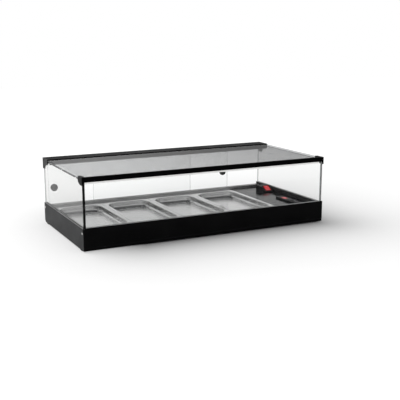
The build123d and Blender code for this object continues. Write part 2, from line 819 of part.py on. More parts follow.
# Rocker switches: an open frame body with a flange, and a rocker on a pivot in it
def make_switch(name, plane, width, length):
    outer_width = width + 2 * switch_wall
    outer_length = length + 2 * switch_wall
    with BuildPart() as switch_body:
        with BuildSketch(plane):
            Rectangle(outer_width + 2 * switch_flange, outer_length + 2 * switch_flange)
        extrude(amount=switch_bezel)
        with BuildSketch(plane):
            Rectangle(outer_width, outer_length)
        extrude(amount=-switch_depth)
        with BuildSketch(plane.offset(switch_bezel)):
            Rectangle(width + 2 * rocker_gap, length + 2 * rocker_gap)
        extrude(amount=-(switch_depth + switch_bezel - switch_wall), mode=Mode.SUBTRACT)
        pivot = plane.origin - plane.z_dir * rocker_pivot_depth
        with BuildSketch(Plane(origin=pivot, x_dir=plane.y_dir, z_dir=plane.x_dir)):
            Circle(pivot_pin_radius + pivot_fit)
        extrude(amount=outer_width, both=True, mode=Mode.SUBTRACT)
    keep(switch_body, f"{name}_switch_body")
    with BuildPart() as rocker:
        length_dir = plane.y_dir.rotate(Axis((0, 0, 0), plane.x_dir), rocker_tilt)
        rocker_plane = Plane(origin=pivot, x_dir=length_dir, z_dir=plane.x_dir)
        with BuildSketch(rocker_plane):
            with BuildLine():
                half = length / 2
                edge = rocker_pivot_depth
                crown = edge + rocker_proud
                heel = edge - rocker_heel_depth
                tip = half - rocker_bevel
                Line((-half, edge), (-tip, crown))
                ThreePointArc((-tip, crown), (0, crown - rocker_dip), (tip, crown))
                Line((tip, crown), (half, edge))
                Line((half, edge), (rocker_heel, heel))
                Line((rocker_heel, heel), (-rocker_heel, heel))
                Line((-rocker_heel, heel), (-half, edge))
            make_face()
        extrude(amount=width / 2, both=True)
        with BuildSketch(rocker_plane):
            Circle(pivot_pin_radius)
        extrude(amount=width / 2 + rocker_gap + pivot_pin_reach, both=True)
    keep(rocker, f"{name}_rocker")


make_switch("main", slope_plane, rocker_width, rocker_length)

# Control strip: a raised housing with display, three buttons and the light rocker
with BuildPart() as control_strip:
    with BuildSketch(strip_plane):
        with Locations((strip_x, strip_centre_y)):
            RectangleRounded(strip_width, strip_length, strip_corner)
    extrude(amount=strip_height)
    chamfer(control_strip.faces().sort_by(Axis.Z)[-1].edges(), strip_bevel)
    with BuildSketch(strip_plane):
        with Locations((strip_x, strip_centre_y)):
            RectangleRounded(strip_width - 2 * strip_wall, strip_length - 2 * strip_wall,
                             strip_corner - strip_wall)
    extrude(amount=strip_height - strip_wall, mode=Mode.SUBTRACT)
    with BuildSketch(Plane.XY.offset(strip_top)):
        with Locations((strip_x, display_y)):
            Rectangle(display_width + 2 * display_gap, display_length + 2 * display_gap)
        with Locations([(strip_x, y) for y in button_ys]):
            Rectangle(button_width + 2 * button_gap, button_length + 2 * button_gap)
        with Locations((strip_x, light_rocker_y)):
            Rectangle(light_rocker_width + 2 * (switch_wall + switch_gap),
                      light_rocker_length + 2 * (switch_wall + switch_gap))
    extrude(amount=-2 * strip_wall, mode=Mode.SUBTRACT)
keep(control_strip, "control_strip")

with BuildPart() as display:
    with BuildSketch(Plane.XY.offset(board_top)):
        with Locations((strip_x, display_y)):
            Rectangle(display_width, display_length)
    extrude(amount=strip_top - display_recess - board_top)
keep(display, "display")

for button_name, y in zip(("set", "down", "up"), button_ys):
    with BuildPart() as button:
        with BuildSketch(Plane.XY.offset(board_top + button_travel)):
            with Locations((strip_x, y)):
                Rectangle(button_width, button_length)
        extrude(amount=button_top - board_top - button_travel)
        chamfer(button.edges().filter_by(Axis.Z), button_bevel)
        chamfer(button.faces().sort_by(Axis.Z)[-1].edges(), button_bevel)
    keep(button, f"{button_name}_button")

make_switch("light", light_plane, light_rocker_width, light_rocker_length)

# Thermostat board that carries the display and the buttons' contacts
with BuildPart() as control_board:
    board_front = button_ys[-1] - button_length / 2 - board_front_margin
    board_rear = display_y + display_length / 2 + board_rear_margin
    with Locations((strip_x, (board_front + board_rear) / 2, deck_top + board_thickness / 2)):
        Box(strip_width - 2 * (strip_wall + board_gap), board_rear - board_front, board_thickness)
keep(control_board, "control_board")

# Cable gland and its nut in the rear panel
gland_length = gland_hex_length + gland_collar_length
gland_plane = Plane(origin=(gland_x, rear_panel_y, gland_z), x_dir=(1, 0, 0), z_dir=(0, 1, 0))
with BuildPart() as cable_gland:
    with BuildSketch(gland_plane):
        RegularPolygon(gland_hex_radius, 6, major_radius=True)
    extrude(amount=gland_hex_length)
    with BuildSketch(gland_plane.offset(gland_hex_length)):
        Circle(gland_collar_radius)
    extrude(amount=gland_collar_length)
    chamfer(cable_gland.faces().sort_by(Axis.Y)[-1].edges(), gland_collar_bevel)
    with BuildSketch(gland_plane):
        Circle(gland_hole_radius - gland_fit)
    extrude(amount=-gland_thread_length)
    with BuildSketch(gland_plane.offset(gland_length)):
        Circle(cord_radius)
    extrude(amount=-(gland_length + gland_thread_length), mode=Mode.SUBTRACT)
keep(cable_gland, "cable_gland")

with BuildPart() as gland_nut:
    with BuildSketch(gland_plane.offset(-sheet)):
        RegularPolygon(gland_hex_radius, 6, major_radius=True)
        Circle(gland_hole_radius - gland_nut_fit, mode=Mode.SUBTRACT)
    extrude(amount=-gland_nut_length)
keep(gland_nut, "gland_nut")

# Electrical parts on the floor of the control bay
with BuildPart() as terminal_block:
    with BuildSketch(Plane.XY.offset(floor_top)):
        with Locations((gland_x, rear_panel_y - block_from_rear)):
            Rectangle(block_length, block_width)
    extrude(amount=block_height)
    with BuildSketch(Plane.XY.offset(floor_top + block_height)):
        with Locations((gland_x, rear_panel_y - block_from_rear)):
            with GridLocations(block_pitch, block_row_pitch, 3, 2):
                Rectangle(block_socket, block_socket)
    extrude(amount=-block_socket, mode=Mode.SUBTRACT)
keep(terminal_block, "terminal_block")

with BuildPart() as light_driver:
    with BuildSketch(Plane.XY.offset(floor_top)):
        with Locations((inner_half - driver_from_cheek, front_y + driver_from_front)):
            Rectangle(driver_length, driver_width)
    extrude(amount=driver_height)
    chamfer(light_driver.edges().filter_by(Axis.Z), driver_bevel)
    chamfer(light_driver.faces().sort_by(Axis.Z)[-1].edges(), driver_bevel)
keep(light_driver, "light_driver")

with BuildPart() as safety_cutout:
    with BuildSketch(Plane.XY.offset(plate_top)):
        with Locations((pan_xs[-1] - pan_pitch / 2, pan_y + cutout_offset)):
            Circle(cutout_radius)
    extrude(amount=cutout_height)
keep(safety_cutout, "safety_cutout")

# Bright screws: two in each cheek
with BuildPart() as cheek_screws:
    for side in (-1, 1):
        for y in (front_y + screw_from_end, rear_y - screw_from_end):
            with BuildSketch(Plane.YZ.offset(side * half_length)):
                with Locations((y, screw_height)):
                    Circle(screw_radius)
            extrude(amount=side * screw_proud)
keep(cheek_screws, "cheek_screws")
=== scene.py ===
import json
import math

import bmesh
import bpy
import numpy as np
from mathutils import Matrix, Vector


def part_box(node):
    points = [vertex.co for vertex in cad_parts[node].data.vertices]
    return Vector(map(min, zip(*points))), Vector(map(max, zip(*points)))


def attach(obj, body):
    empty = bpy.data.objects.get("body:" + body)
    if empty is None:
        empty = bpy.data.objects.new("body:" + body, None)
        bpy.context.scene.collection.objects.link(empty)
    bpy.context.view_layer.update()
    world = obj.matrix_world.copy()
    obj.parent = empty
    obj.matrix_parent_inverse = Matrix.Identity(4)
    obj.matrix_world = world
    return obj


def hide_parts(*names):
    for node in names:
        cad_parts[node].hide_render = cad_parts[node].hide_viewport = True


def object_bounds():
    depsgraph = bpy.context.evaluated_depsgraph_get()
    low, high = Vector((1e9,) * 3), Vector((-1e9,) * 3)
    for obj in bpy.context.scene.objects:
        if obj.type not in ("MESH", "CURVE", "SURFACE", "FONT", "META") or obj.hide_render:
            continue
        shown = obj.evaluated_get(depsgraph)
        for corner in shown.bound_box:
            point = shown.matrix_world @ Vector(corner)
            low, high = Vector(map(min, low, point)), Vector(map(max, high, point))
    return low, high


# A heated counter-top display case with four pans under glass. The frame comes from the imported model;
# this script gives it its finishes, its finer pieces, a floor, the lights and the camera.
# Shapes are written in millimetres and turned into metres when a piece is made.
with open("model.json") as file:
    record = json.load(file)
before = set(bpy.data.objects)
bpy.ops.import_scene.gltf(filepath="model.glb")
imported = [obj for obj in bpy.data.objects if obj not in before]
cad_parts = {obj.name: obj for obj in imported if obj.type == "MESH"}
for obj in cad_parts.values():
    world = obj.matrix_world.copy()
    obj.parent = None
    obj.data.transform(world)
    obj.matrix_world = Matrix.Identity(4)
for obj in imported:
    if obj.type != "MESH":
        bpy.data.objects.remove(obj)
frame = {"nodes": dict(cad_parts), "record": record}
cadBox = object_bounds()
nodes = frame["nodes"]
record = frame["record"]
bodyOf = {node: body for body, names in record["behaviour"]["bodies"].items() for node in names}
mm = 0.001
creaseDegrees = 38  # two faces that meet at more than this keep a sharp edge
colourStep = 0.0003  # metres over which one colour on a piece gives way to the next
print("frame loaded:", len(nodes), "nodes")


# Materials

def newMaterial(name, sockets):
    # one Principled shader, with constant numbers set on the shader's own sockets
    material = bpy.data.materials.new(name)
    material.use_nodes = True
    shader = material.node_tree.nodes["Principled BSDF"]
    for socket, value in sockets.items():
        shader.inputs[socket].default_value = (*value, 1.0) if isinstance(value, tuple) else value
    return material


def addNode(material, kind, settings=None, inputs=None):
    # a node of that kind, with its settings and its input values or links
    node = material.node_tree.nodes.new(kind)
    for key, value in (settings or {}).items():
        setattr(node, key, value)
    for key, value in (inputs or {}).items():
        if isinstance(value, bpy.types.NodeSocket):
            material.node_tree.links.new(value, node.inputs[key])
        else:
            node.inputs[key].default_value = value
    return node


def link(material, source, target):
    material.node_tree.links.new(source, target)


def shaderOf(material):
    return material.node_tree.nodes["Principled BSDF"]


def objectNoise(material, scale, stretch=(1, 1, 1), detail=3.0):
    # noise on Object coordinates: the point is multiplied by the stretch first, so a brushed line runs long
    coords = addNode(material, "ShaderNodeTexCoord")
    mapping = addNode(material, "ShaderNodeMapping", {}, {"Vector": coords.outputs["Object"]})
    mapping.inputs["Scale"].default_value = stretch
    return addNode(material, "ShaderNodeTexNoise", {},
                   {"Vector": mapping.outputs[0], "Scale": scale, "Detail": detail}).outputs["Fac"]


def ramp(material, factor, low, high, lowAt=0.3, highAt=0.7):
    # a number that goes from low to high while the factor goes from lowAt to highAt
    return addNode(material, "ShaderNodeMapRange", {},
                   {"Value": factor, "From Min": lowAt, "From Max": highAt, "To Min": low,
                    "To Max": high}).outputs["Result"]


def colourRamp(material, factor, low, high, lowAt=0.3, highAt=0.7):
    # a colour between two, by the factor
    node = addNode(material, "ShaderNodeValToRGB", {}, {"Fac": factor})
    stops = node.color_ramp.elements
    stops[0].position, stops[0].color = lowAt, (*low, 1)
    stops[1].position, stops[1].color = highAt, (*high, 1)
    return node.outputs["Color"]


def bump(material, height, strength, distance=0.001):
    node = addNode(material, "ShaderNodeBump", {},
                   {"Height": height, "Strength": strength, "Distance": distance})
    link(material, node.outputs["Normal"], shaderOf(material).inputs["Normal"])


def grainyPlastic(name, colour, roughness, grain, strength, spread=0.12, specular=0.5):
    # moulded plastic or powder paint: a fine grain as bump, and patches a little lighter and rougher
    material = newMaterial(name, {"Specular IOR Level": specular})
    patches = objectNoise(material, 14)
    pale = tuple(min(1.0, c * (1 + 2 * spread) + 0.0005) for c in colour)
    link(material, colourRamp(material, patches, colour, pale), shaderOf(material).inputs["Base Color"])
    link(material, ramp(material, patches, roughness * (1 - spread), roughness * (1 + spread)),
         shaderOf(material).inputs["Roughness"])
    bump(material, objectNoise(material, grain, detail=2.0), strength, 0.0005)
    return material


def brushedMetal(name, colour, roughness, stretch, strength=0.12, scale=60, spread=0.3):
    # rolled or brushed sheet: noise drawn out along the brushing drives tone, roughness and a faint bump
    material = newMaterial(name, {"Metallic": 1.0})
    lines = objectNoise(material, scale, stretch, 4.0)
    cloud = objectNoise(material, 9)
    both = addNode(material, "ShaderNodeMath", {"operation": "MULTIPLY_ADD"}, {0: lines, 1: 0.4, 2: 0.0})
    mixed = addNode(material, "ShaderNodeMath", {"operation": "MULTIPLY_ADD"},
                    {0: cloud, 1: 0.6, 2: both.outputs[0]})
    darker = tuple(c * 0.82 for c in colour)
    link(material, colourRamp(material, mixed.outputs[0], darker, colour),
         shaderOf(material).inputs["Base Color"])
    link(material, ramp(material, lines, roughness * (1 - spread), roughness * (1 + spread)),
         shaderOf(material).inputs["Roughness"])
    bump(material, lines, strength, 0.0002)
    return material


paneEdge = {
    "from": 0.9,  # share of the normal along the pane's axis under which the edge's glass shows alone
    "to": 0.99,
    "roughness": 0.18,
}


def paneGlass(name, axis, look):
    # A pane that lets light straight through. Mirror share = facing share + rise * (1 - cos angle)^5.
    # The polished edges, where the normal leaves the pane's own axis, are a denser, paler glass.
    material = bpy.data.materials.new(name)
    material.use_nodes = True
    tree = material.node_tree
    tree.nodes.clear()
    out = addNode(material, "ShaderNodeOutputMaterial")
    weight = addNode(material, "ShaderNodeLayerWeight", {}, {"Blend": 0.5})
    power = addNode(material, "ShaderNodeMath", {"operation": "POWER"},
                    {0: weight.outputs["Facing"], 1: 5.0})
    share = addNode(material, "ShaderNodeMath", {"operation": "MULTIPLY_ADD"},
                    {0: power.outputs[0], 1: look["rise"], 2: look["mirror"]})
    clear = addNode(material, "ShaderNodeBsdfTransparent", {}, {"Color": (*look["tint"], 1)})
    gloss = addNode(material, "ShaderNodeBsdfAnisotropic", {}, {"Color": (1, 1, 1, 1), "Roughness": 0.02})
    if "shadeTint" in look:  # painted shade: the glass's see-through colour and its reflection both grow darker towards the right end
        point = addNode(material, "ShaderNodeSeparateXYZ", {},
                        {0: addNode(material, "ShaderNodeTexCoord").outputs["Object"]})
        toRight = ramp(material, point.outputs[0], 0.0, 1.0, look["shadeFrom"], look["shadeTo"])
        link(material, colourRamp(material, toRight, look["tint"], look["shadeTint"], 0.0, 1.0),
             clear.inputs["Color"])
        link(material, colourRamp(material, toRight, (1, 1, 1), look["shadeGloss"], 0.0, 1.0),
             gloss.inputs["Color"])
    face = addNode(material, "ShaderNodeMixShader", {}, {0: share.outputs[0]})
    link(material, clear.outputs[0], face.inputs[1])
    link(material, gloss.outputs[0], face.inputs[2])
    coords = addNode(material, "ShaderNodeTexCoord")
    normal = addNode(material, "ShaderNodeSeparateXYZ", {}, {0: coords.outputs["Normal"]})
    size = addNode(material, "ShaderNodeMath", {"operation": "ABSOLUTE"}, {0: normal.outputs[axis]})
    edge = addNode(material, "ShaderNodeMapRange", {},
                   {"Value": size.outputs[0], "From Min": paneEdge["from"], "From Max": paneEdge["to"],
                    "To Min": 1.0, "To Max": 0.0})
    edgeClear = addNode(material, "ShaderNodeBsdfTransparent", {}, {"Color": (*look["edgeTint"], 1)})
    edgeSolid = addNode(material, "ShaderNodeBsdfPrincipled", {},
                        {"Base Color": (*look["edge"], 1), "Roughness": paneEdge["roughness"]})
    edgeMix = addNode(material, "ShaderNodeMixShader", {}, {0: look["edgeShare"]})
    link(material, edgeClear.outputs[0], edgeMix.inputs[1])
    link(material, edgeSolid.outputs[0], edgeMix.inputs[2])
    both = addNode(material, "ShaderNodeMixShader", {}, {0: edge.outputs["Result"]})
    link(material, face.outputs[0], both.inputs[1])
    link(material, edgeMix.outputs[0], both.inputs[2])
    link(material, both.outputs[0], out.inputs["Surface"])
    return material


def glowing(name, colour, strength, body):
    # a lit plastic: its own colour, and the light that comes through it, a little uneven
    material = newMaterial(name, {"Base Color": body, "Roughness": 0.3, "Specular IOR Level": 0.3})
    shader = shaderOf(material)
    shader.inputs["Emission Color"].default_value = (*colour, 1)
    cloud = objectNoise(material, 90)
    link(material, ramp(material, cloud, strength * 0.88, strength * 1.08),
         shader.inputs["Emission Strength"])
    bump(material, objectNoise(material, 700), 0.05, 0.0002)
    return material


def clearBead(name, colour, share):
    # clear silicone: part of the light goes straight through, the rest meets a soft pale surface
    material = bpy.data.materials.new(name)
    material.use_nodes = True
    shader = shaderOf(material)
    out = material.node_tree.nodes["Material Output"]
    shader.inputs["Roughness"].default_value = 0.3
    link(material, colourRamp(material, objectNoise(material, 40), tuple(c * 0.85 for c in colour), colour),
         shader.inputs["Base Color"])
    clear = addNode(material, "ShaderNodeBsdfTransparent")
    both = addNode(material, "ShaderNodeMixShader", {}, {0: share})
    link(material, clear.outputs[0], both.inputs[1])
    link(material, shader.outputs[0], both.inputs[2])
    link(material, both.outputs[0], out.inputs["Surface"])
    return material


def sealWithLine(name, colour, share, lineFrom):
    # clear silicone whose outermost part, past lineFrom along X, is dark
    material = clearBead(name, colour, share)
    shader = shaderOf(material)
    mixer = material.node_tree.nodes["Mix Shader"]
    parts = addNode(material, "ShaderNodeSeparateXYZ", {},
                    {0: addNode(material, "ShaderNodeTexCoord").outputs["Object"]})
    dark = ramp(material, parts.outputs[0], 0.0, 1.0, lineFrom - colourStep, lineFrom)
    link(material, ramp(material, dark, share, 1.0, 0.0, 1.0), mixer.inputs[0])
    mix = addNode(material, "ShaderNodeMix", {"data_type": "RGBA"}, {})
    link(material, dark, mix.inputs[0])
    link(material, shader.inputs["Base Color"].links[0].from_socket, mix.inputs[6])
    mix.inputs[7].default_value = (0.02, 0.02, 0.02, 1)
    link(material, mix.outputs[2], shader.inputs["Base Color"])
    return material


cheekFinish = {
    "paint": (0.027, 0.0275, 0.0285),
    "foldShade": (0.0035, 0.0035, 0.004),  # the fold behind the gloss front is painted black too: painted shade of the dark gap under the fascia
    "foldFrom": -0.2126,
}


def makeCheekPaint():
    # dark grey powder paint; the narrow front fold is painted black, painted shade of the gap under the
    # fascia
    material = grainyPlastic("cheekPaint", cheekFinish["paint"], 0.55, 900, 0.3, specular=0.12)
    shader = shaderOf(material)
    painted = shader.inputs["Base Color"].links[0].from_socket
    coords = addNode(material, "ShaderNodeTexCoord")
    parts = addNode(material, "ShaderNodeSeparateXYZ", {}, {0: coords.outputs["Object"]})
    edge = cheekFinish["foldFrom"]
    front = ramp(material, parts.outputs[1], 1.0, 0.0, edge - colourStep, edge)
    mix = addNode(material, "ShaderNodeMix", {"data_type": "RGBA"}, {})
    link(material, front, mix.inputs[0])
    link(material, painted, mix.inputs[6])
    mix.inputs[7].default_value = (*cheekFinish["foldShade"], 1)
    link(material, mix.outputs[2], shader.inputs["Base Color"])
    return material


paint = {
    "cheek": makeCheekPaint(),
    "foot": grainyPlastic("footRubber", (0.01, 0.01, 0.01), 0.8, 600, 0.3, specular=0.2),
    "fascia": grainyPlastic("fasciaGloss", (0.0028, 0.0028, 0.003), 0.12, 350, 0.002, spread=0.3,
                            specular=0.02),
    "rail": grainyPlastic("railBlack", (0.0022, 0.0022, 0.0024), 0.36, 1100, 0.12, specular=0.004),
    "cap": grainyPlastic("capBlack", (0.002, 0.002, 0.0022), 0.36, 1100, 0.12, specular=0.02),
    "bracket": grainyPlastic("bracketBlack", (0.0014, 0.0014, 0.0016), 0.36, 1100, 0.12, specular=0.05),
    "seal": grainyPlastic("sealBlack", (0.002, 0.002, 0.002), 0.6, 800, 0.15, specular=0.1),
    "pull": grainyPlastic("pullDark", (0.012, 0.012, 0.013), 0.4, 900, 0.12, specular=0.2),
    "trackLight": grainyPlastic("trackLight", (0.3, 0.3, 0.31), 0.42, 900, 0.1),
    "deck": grainyPlastic("controlGloss", (0.014, 0.0145, 0.016), 0.14, 350, 0.0015, spread=0.25,
                          specular=0.06),
    "console": grainyPlastic("consoleBlack", (0.008, 0.008, 0.0085), 0.45, 1300, 0.25, specular=0.06),
    "rocker": grainyPlastic("rockerDark", (0.007, 0.007, 0.008), 0.38, 1300, 0.15, specular=0.08),
    "gland": grainyPlastic("glandBlack", (0.012, 0.012, 0.013), 0.5, 1000, 0.2, specular=0.3),
    "block": grainyPlastic("blockWhite", (0.72, 0.71, 0.67), 0.45, 900, 0.15),
    "driver": grainyPlastic("driverWhite", (0.62, 0.62, 0.62), 0.42, 900, 0.15),
    "pad": grainyPlastic("padClear", (0.65, 0.66, 0.66), 0.35, 700, 0.1),
    "mat": grainyPlastic("matSilicone", (0.33, 0.075, 0.028), 0.6, 420, 0.4),
    "board": grainyPlastic("boardGreen", (0.012, 0.11, 0.045), 0.35, 300, 0.1),
    "insulation": grainyPlastic("insulationBoard", (0.52, 0.5, 0.45), 0.9, 300, 0.8),
    "steel": brushedMetal("caseSteel", (0.42, 0.43, 0.44), 0.42, (1, 14, 14)),
    "well": brushedMetal("wellSteel", (0.42, 0.42, 0.425), 0.3, (1, 30, 30), 0.03),
    "pan": brushedMetal("panSteel", (0.52, 0.52, 0.52), 0.22, (9, 1, 9), 0.008),
    "track": brushedMetal("trackSteel", (0.5, 0.5, 0.5), 0.34, (1, 30, 30)),
    "plate": brushedMetal("plateAluminium", (0.7, 0.71, 0.72), 0.35, (1, 20, 20)),
    "channel": brushedMetal("channelAluminium", (0.74, 0.75, 0.76), 0.3, (1, 25, 25)),
    "cutout": brushedMetal("cutoutSteel", (0.6, 0.6, 0.6), 0.25, (1, 1, 8)),
    "screw": brushedMetal("screwBright", (0.85, 0.85, 0.84), 0.16, (8, 1, 8)),
    "screwDark": brushedMetal("screwDark", (0.05, 0.05, 0.052), 0.35, (8, 1, 8)),
    "red": glowing("litRed", (1.0, 0.03, 0.045), 0.38, (0.28, 0.012, 0.016)),
    "digit": glowing("litDigit", (1.0, 0.42, 0.4), 0.9, (0.4, 0.06, 0.06)),
    "led": glowing("ledWhite", (1.0, 0.98, 0.92), 1.2, (0.85, 0.85, 0.8)),
    "diffuser": glowing("diffuserWhite", (1.0, 0.99, 0.97), 0.45, (0.75, 0.75, 0.75)),
    "print": grainyPlastic("printWhite", (0.68, 0.68, 0.68), 0.5, 900, 0.05, specular=0.3),
    "sealRight": sealWithLine("sealClear", (0.85, 0.86, 0.86), 0.3, 0.4305),
    "bead": clearBead("beadClear", (0.85, 0.86, 0.86), 0.55),
    # one clear silicone gasket on both side panes: the left one is painted dark and nearly solid, painted
    # shade; the right stays clear
    "gasketLeft": clearBead("gasketShaded", (0.02, 0.02, 0.02), 0.75),
    "gasketRight": clearBead("gasketClear", (0.7, 0.7, 0.7), 0.25),
}
frontLook = {"mirror": 0.004, "rise": 0.6, "tint": (0.982, 0.984, 0.983), "edge": (0.42, 0.44, 0.44),
             "edgeTint": (0.72, 0.74, 0.74), "edgeShare": 0.4}
# the side panes are the front pane's glass with a darker tint, the left one darker still: painted shade
leftLook = {**frontLook, "rise": 0.36, "tint": (0.892, 0.893, 0.89)}
rightLook = {**frontLook, "tint": (0.965, 0.966, 0.965)}
# the top glass is painted darker towards its right end, in tint and in reflection: painted shade
topLook = {"mirror": 0.01, "rise": 0.41, "tint": (0.66, 0.663, 0.665), "shadeTint": (0.605, 0.608, 0.61),
           "shadeGloss": (0.5, 0.5, 0.5), "shadeFrom": -0.3, "shadeTo": 0.35, "edge": (0.8, 0.81, 0.81),
           "edgeTint": (0.95, 0.96, 0.96), "edgeShare": 0.15}


def dress(material, *names):
    # put one material on every slot of these CAD nodes
    for name in names:
        mesh = nodes[name].data
        if not mesh.materials:
            mesh.materials.append(material)
        for index in range(len(mesh.materials)):
            mesh.materials[index] = material


dress(paneGlass("glassLeft", 0, leftLook), "left_glass")
dress(paneGlass("glassRight", 0, rightLook), "right_glass")
dress(paneGlass("glassUpright", 1, frontLook), "front_glass", "left_door_glass", "right_door_glass")
dress(paneGlass("glassTop", 2, topLook), "top_glass")
dress(paint["seal"], "left_corner_seal")
dress(paint["sealRight"], "right_corner_seal")
dress(paint["steel"], "floor_tray", "rear_panel", "bay_divider")
dress(paint["well"], "well_top")
dress(paint["insulation"], "insulation_board")
dress(paint["mat"], "heating_mat")
dress(paint["plate"], "heating_plate")
dress(paint["pad"], "glass_pads")
dress(paint["channel"], "light_channel")
dress(paint["led"], "led_strip")
dress(paint["diffuser"], "light_diffuser")
dress(paint["deck"], "control_deck")
dress(paint["red"], "display")
dress(paint["board"], "control_board")
dress(paint["gland"], "gland_nut")
dress(paint["block"], "terminal_block")
dress(paint["driver"], "light_driver")
dress(paint["cutout"], "safety_cutout")
print("finishes on")


# Making pieces

def finishPiece(name, mesh, material, body, replaced=()):
    # smooth faces with a crease wherever two faces meet at more than the crease angle
    mesh.polygons.foreach_set("use_smooth", np.full(len(mesh.polygons), True))
    mesh.set_sharp_from_angle(angle=math.radians(creaseDegrees))
    mesh.materials.append(material)
    piece = bpy.data.objects.new(name, mesh)
    bpy.context.scene.collection.objects.link(piece)
    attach(piece, body)
    if replaced:
        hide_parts(*replaced)
    return piece


def makePiece(name, shells, material, body, replaced=()):
    # one mesh from closed shells of points in millimetres and faces, every face turned outwards
    points, faces, start = [], [], 0
    for shellPoints, shellFaces in shells:
        points.append(shellPoints)
        faces += [[index + start for index in face] for face in shellFaces]
        start += len(shellPoints)
    mesh = bpy.data.meshes.new(name)
    mesh.from_pydata((np.concatenate(points) * mm).tolist(), [], faces)
    work = bmesh.new()
    work.from_mesh(mesh)
    bmesh.ops.recalc_face_normals(work, faces=work.faces)
    work.to_mesh(mesh)
    work.free()
    return finishPiece(name, mesh, material, body, replaced)


def skin(loops, ring=False):
    # Surface over loops of points, one row each: quads join each row to the next. A ring also joins the
    # last row to the first; otherwise both ends are closed by a fan to the middle of their row.
    rows, columns = loops.shape[:2]
    row, column = np.meshgrid(np.arange(rows if ring else rows - 1), np.arange(columns), indexing="ij")
    beside = (column + 1) % columns
    above = (row + 1) % rows * columns
    quads = np.stack([row * columns + column, row * columns + beside, above + beside, above + column], -1)
    faces = quads.reshape(-1, 4).tolist()
    points = loops.reshape(-1, 3)
    if ring:
        return points, faces
    around = np.arange(columns)
    turn = (around + 1) % columns
    last = (rows - 1) * columns
    first = np.full(columns, rows * columns)
    faces += np.stack([first, turn, around], -1).tolist()
    faces += np.stack([first + 1, last + around, last + turn], -1).tolist()
    return np.concatenate([points, loops[:1].mean(1), loops[-1:].mean(1)]), faces


def turned(rings, axis, centre, side=1, steps=48, flute=0.05):
    # Loops turned round an axis. Each ring is (radius, height, sides): 0 sides is a circle, n sides the
    # n-cornered outline radius * cos(pi/n) / cos(angle from the flat's middle), and -n a circle with n
    # flutes.
    radius, height, sides = (np.array(column, float)[:, None] for column in zip(*rings))
    angle = np.linspace(0, 2 * math.pi, steps, endpoint=False)[None, :]
    corners = np.where(sides > 0, sides, 1)
    half = math.pi / corners
    polygon = np.cos(half) / np.cos(np.mod(angle, 2 * half) - half)
    fluted = 1 - flute * (0.5 + 0.5 * np.cos(-sides * angle)) ** 2
    shape = np.where(sides > 0, polygon, np.where(sides < 0, fluted, 1.0))
    u, v = radius * shape * np.cos(angle), radius * shape * np.sin(angle)
    along = side * height + 0 * angle
    order = {"x": (along, u, v), "y": (u, along, v), "z": (u, v, along)}[axis]
    return np.stack(order, -1) + np.array(centre)


def swept(section, axis, low, high):
    # A section of (y, z) points carried straight along X, or of (x, z) points along Y, from low to high.
    first, second = section[:, 0], section[:, 1]
    runs = [(np.full_like(first, at), first, second) if axis == "x"
            else (first, np.full_like(first, at), second) for at in (low, high)]
    return np.stack([np.stack(run, -1) for run in runs])


def quarterRound(corner, reach, rise, steps=7):
    # A bead's section in a corner: the corner point, then (reach * cos t, rise * sin t) for t from 0 to 90.
    t = np.linspace(0, math.pi / 2, steps)
    arc = np.stack([corner[0] + reach * np.cos(t), corner[1] + rise * np.sin(t)], -1)
    return np.concatenate([[corner], arc])


def circlePoints(steps):
    # Points (cos t, sin t) once round a circle of radius 1.
    angle = np.linspace(0, 2 * math.pi, steps, endpoint=False)
    return np.stack([np.cos(angle), np.sin(angle)], -1)


def placed(flat, heights, origin, right, up):
    # An outline of (u, v) points as a thin plate: one loop at each height over the plane of right and up.
    right, up = np.array(right, float), np.array(up, float)
    normal = np.cross(right, up)
    return np.stack([np.array(origin) + flat[:, :1] * right + flat[:, 1:] * up + height * normal
                     for height in heights])


merge = {"distance": 2e-6, "flatDegrees": 1.0, "rollSegments": 2}


def softened(name, width, material):
    # A CAD node with its edges rolled over: its triangles are merged in a copy, flat regions become one
    # face, and a bevel of this width goes round every edge.
    work = bmesh.new()
    work.from_mesh(nodes[name].data)
    bmesh.ops.remove_doubles(work, verts=work.verts, dist=merge["distance"])
    bmesh.ops.dissolve_limit(work, angle_limit=math.radians(merge["flatDegrees"]), verts=work.verts,
                             edges=work.edges)
    mesh = bpy.data.meshes.new(name + "Soft")
    work.to_mesh(mesh)
    work.free()
    piece = finishPiece(name + "Soft", mesh, material, bodyOf[name], (name,))
    roll = piece.modifiers.new("edgeRoll", "BEVEL")
    roll.width = width * mm
    roll.segments = merge["rollSegments"]
    roll.limit_method = "ANGLE"
    roll.angle_limit = math.radians(creaseDegrees)
    roll.harden_normals = True
    return piece


rolled = {
    "cheek": (0.8, ["left_cheek", "right_cheek"]),
    "foot": (0.4, ["feet"]),
    "fascia": (0.4, ["front_fascia"]),
    "rail": (0.45, ["front_rail", "rear_rail"]),
    "cap": (0.45, ["left_front_cap", "right_front_cap"]),
    "bracket": (0.45, ["left_rear_bracket", "right_rear_bracket"]),
    "track": (0.4, ["lower_track"]),
    "trackLight": (0.4, ["upper_track"]),
    "console": (0.4, ["switch_console", "control_strip", "main_switch_body", "light_switch_body"]),
    "red": (0.35, ["main_rocker"]),
    "rocker": (0.3, ["light_rocker", "set_button", "down_button", "up_button"]),
}
for finish, (edgeWidth, names) in rolled.items():
    for name in names:
        softened(name, edgeWidth, paint[finish])
print("edges rolled on", sum(len(names) for edgeWidth, names in rolled.values()), "nodes")


# Pans

pan = {
    "sheet": 0.8,
    "depth": 20.0,
    "flange": 11.0,
    "rimCorner": 14.0,
    "mouthCorner": 38.0,
    "lip": 1.6,
    "lipRound": 1.1,
    "mouthRound": 2.4,
    "floorRound": 7.0,
    "lean": 8.0,
    "crown": 0.5,
    "cornerSteps": 14,
    "cornerReach": 40.0,  # past the mouth the corner radius falls by this over the same distance
    "mouthEase": 1.0,
    "floorStart": 1.0,
    "foldGap": 0.5,  # flat sheet kept beside the mouth's and the lip's rounds
    "wallShares": (0.06, 0.94),
    "floorShares": (0.9, 0.75, 0.55, 0.35, 0.15),
}


